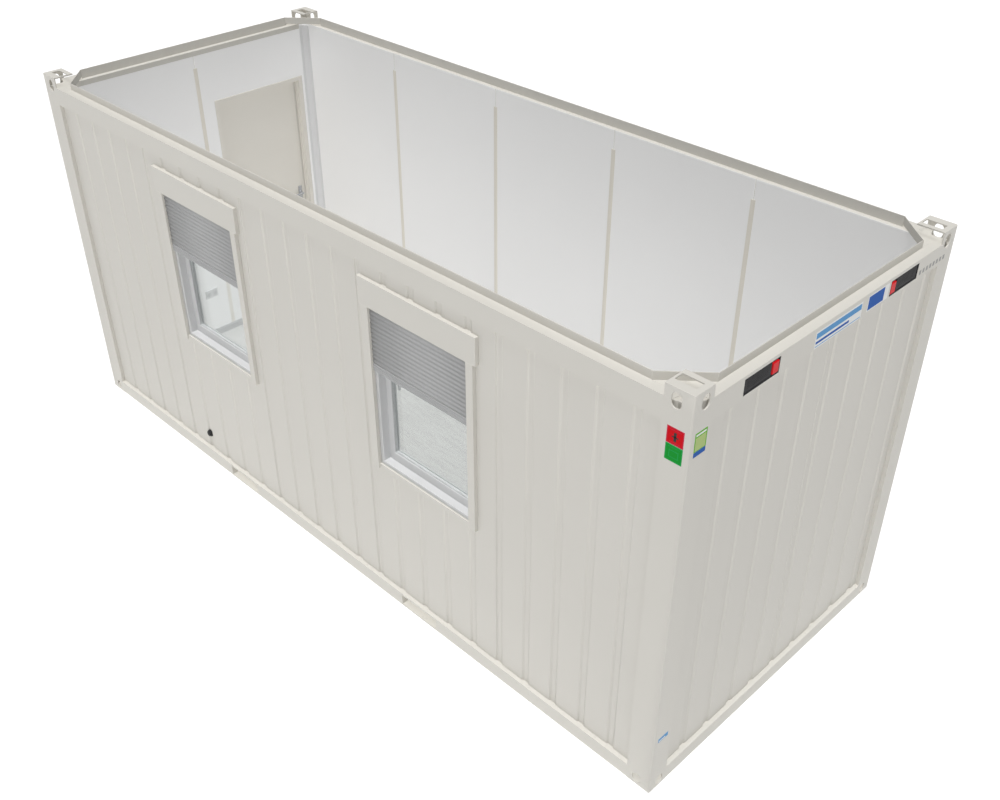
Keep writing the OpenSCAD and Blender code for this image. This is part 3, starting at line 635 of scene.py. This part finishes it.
# Power inlets: two black moulded housings sunk in the end's roof rail, each with a hinged lid and a
# red flap over the plug at the end towards the middle.
rail_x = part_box("roof_rail_right")[1].x
red_plastic = finish(
    "red plastic",
    lambda place: {"Base Color": place.cloud(12.0).tint((0.62, 0.008, 0.012), (0.72, 0.014, 0.020)),
                   "Specular IOR Level": 0.12, "Roughness": 0.3 + place.cloud(30.0) * 0.15},
    lambda place: place.cloud(300.0), 0.0001)
inlet_y, inlet_half, edge = 0.672, 0.149, 0.008
low_z, high_z = 2.607, 2.705
housing, flaps = bmesh.new(), bmesh.new()
for s in (-1, 1):
    middle = s * inlet_y
    y0, y1 = middle - inlet_half, middle + inlet_half
    bar(housing, (rail_x - 0.0195, y0, low_z + 0.001), (rail_x - 0.012, y1, high_z - 0.001), 0.002)
    for z in (low_z, high_z - edge):
        bar(housing, (rail_x - 0.019, y0, z), (rail_x - 0.0015, y1, z + edge), 0.002)
    for y in (y0, y1 - edge):
        bar(housing, (rail_x - 0.019, y, low_z + 0.001), (rail_x - 0.0015, y + edge, high_z - 0.001), 0.002)
    y = sorted((middle + s * 0.139, middle - s * 0.082))
    bar(housing, (rail_x - 0.013, y[0], low_z + 0.011), (rail_x - 0.004, y[1], high_z - 0.011), 0.003, 3)
    for k in range(5):
        z = low_z + 0.028 + k * 0.0105
        bar(housing, (rail_x - 0.005, y[0] + 0.02, z), (rail_x - 0.0030, y[1] - 0.02, z + 0.004), 0.0008)
    y = sorted((middle - s * 0.090, middle - s * 0.143))
    bar(flaps, (rail_x - 0.015, y[0], low_z + 0.011), (rail_x - 0.0008, y[1], high_z - 0.020), 0.004, 3)
    bar(flaps, (rail_x - 0.004, y[0] + 0.012, low_z + 0.022),
        (rail_x - 0.0004, y[1] - 0.012, low_z + 0.032), 0.001)
show("inlet_housings", housing, black_plastic)
show("inlet_flaps", flaps, red_plastic)


# Labels: printed film stuck to the right corner post and to the end's roof rail. Each is a plain field
# of colour with a border and a band or two.
def film(name, colour):
    return finish(
        name,
        lambda place: {"Base Color": place.cloud(25.0).tint(tuple(v * 0.9 for v in colour), colour),
                       "Roughness": 0.5 + place.cloud(60.0) * 0.15, "Specular IOR Level": 0.06},
        lambda place: place.cloud(500.0), 0.00004)


films = {
    "red": film("red film", (0.60, 0.004, 0.010)), "pink": film("pale red film", (0.56, 0.030, 0.070)),
    "green": film("green film", (0.008, 0.29, 0.030)), "mint": film("pale green film", (0.020, 0.34, 0.085)),
    "leaf": film("leaf green film", (0.13, 0.43, 0.025)), "blue": film("blue film", (0.030, 0.115, 0.42)),
    "sky": film("sky blue film", (0.12, 0.33, 0.62)), "white": film("white film", (0.80, 0.81, 0.80)),
    "lime": film("pale lime film", (0.44, 0.56, 0.22)), "grey": film("grey film", (0.36, 0.36, 0.35)),
    "dark": film("dark film", (0.045, 0.045, 0.045))}
print_on, thick = {}, 0.00012
post_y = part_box("corner_post_front_right")[0].y


def print_front(colour, x0, x1, z0, z1, layer=1):
    bm = print_on.setdefault(colour, bmesh.new())
    bar(bm, (x0, post_y - layer * thick, z0), (x1, post_y + 0.0002, z1), 0.0001, 1)


def print_end(colour, y0, y1, z0, z1, layer=1):
    bm = print_on.setdefault(colour, bmesh.new())
    bar(bm, (rail_x - 0.0002, y0, z0), (rail_x + layer * thick, y1, z1), 0.0001, 1)


# two fields, one over the other, on the front of the post
print_front("pink", 2.891, 2.9925, 2.4865, 2.583)
print_front("red", 2.897, 2.9865, 2.4925, 2.577, 2)
print_front("pink", 2.908, 2.9755, 2.567, 2.5695, 3)
print_front("pink", 2.908, 2.9755, 2.4985, 2.501, 3)
print_front("dark", 2.934, 2.9495, 2.507, 2.558, 3)
print_front("dark", 2.922, 2.9615, 2.528, 2.535, 3)
print_front("mint", 2.891, 2.9925, 2.3895, 2.4855)
print_front("green", 2.897, 2.9865, 2.3955, 2.4795, 2)
print_front("mint", 2.908, 2.9755, 2.4695, 2.472, 3)
print_front("mint", 2.914, 2.9695, 2.412, 2.4535, 3)
print_front("green", 2.918, 2.9655, 2.416, 2.4495, 4)
# a three-coloured label on the end face of the post
print_end("leaf", -1.183, -1.089, 2.466, 2.576)
print_end("lime", -1.176, -1.096, 2.470, 2.548, 2)
print_end("white", -1.174, -1.098, 2.555, 2.566, 2)
print_end("blue", -1.183, -1.089, 2.436, 2.4655)
# a low label near the foot of the end
print_end("sky", -1.183, -1.095, 0.418, 0.450)
print_end("white", -1.176, -1.120, 0.423, 0.431, 2)
# long pale label, blue label and plain marks on the end's roof rail
print_end("white", -0.212, 0.232, 2.600, 2.700)
print_end("sky", -0.205, 0.225, 2.655, 2.690, 2)
print_end("blue", -0.205, 0.110, 2.625, 2.640, 2)
print_end("sky", -0.205, 0.225, 2.607, 2.612, 2)
print_end("white", 0.288, 0.500, 2.611, 2.706)
print_end("blue", 0.294, 0.455, 2.617, 2.700, 2)
for k in range(8):
    y = 0.842 + k * 0.038
    print_end("grey", y, y + 0.022, 2.619, 2.647)
for colour, bm in print_on.items():
    show("labels_" + colour, bm, films[colour])

# Cable plug: a black screwed blanking plug with a six-sided collar, low in the front wall.
plug = bmesh.new()
for radius, deep, at, sides in (
        (0.030, 0.012, 0.002, 48), (0.027, 0.009, -0.0085, 6), (0.019, 0.004, -0.015, 32)):
    turned(plug, "X", (-1.497, wall_y + at, 0.245), radius, radius * 0.95, deep, sides)
show("cable_plug", plug, black_plastic,
     mods=[("BEVEL", {"width": 0.0012, "segments": 2})])

# Socket: a white double socket screwed to the end wall beside the door, with two round sunk faces. The faces
# and their pin holes are not sunk: they are flat grey discs and small pads on the plate, whose grey is
# painted shade for the recesses.
socket, recess_shade = bmesh.new(), bmesh.new()
plate_x, socket_z = -inner_x + 0.010, 0.552
bar(socket, (-inner_x, -0.242, 0.512), (plate_x, -0.117, 0.592), 0.003, 3)
for y in (-0.211, -0.148):
    turned(socket, "Y", (plate_x, y, socket_z), 0.026, 0.026 * 0.97, 0.004, 40)
    # grey disc and two pads: painted shade of the sunk face and its pin holes
    turned(recess_shade, "Y", (plate_x, y, socket_z), 0.0215, 0.0215 * 0.97, 0.0046, 40)
    for z in (socket_z - 0.009, socket_z + 0.009):
        bar(recess_shade, (plate_x + 0.002, y - 0.002, z - 0.002), (plate_x + 0.0028, y + 0.002, z + 0.002))
show("socket_plate", socket, pvc, mods=[("BEVEL", {"width": 0.0008, "segments": 2})])
# the grey of these faces is painted shade, standing in for their recesses
show("socket_recess_shade", recess_shade, skirt_grey)
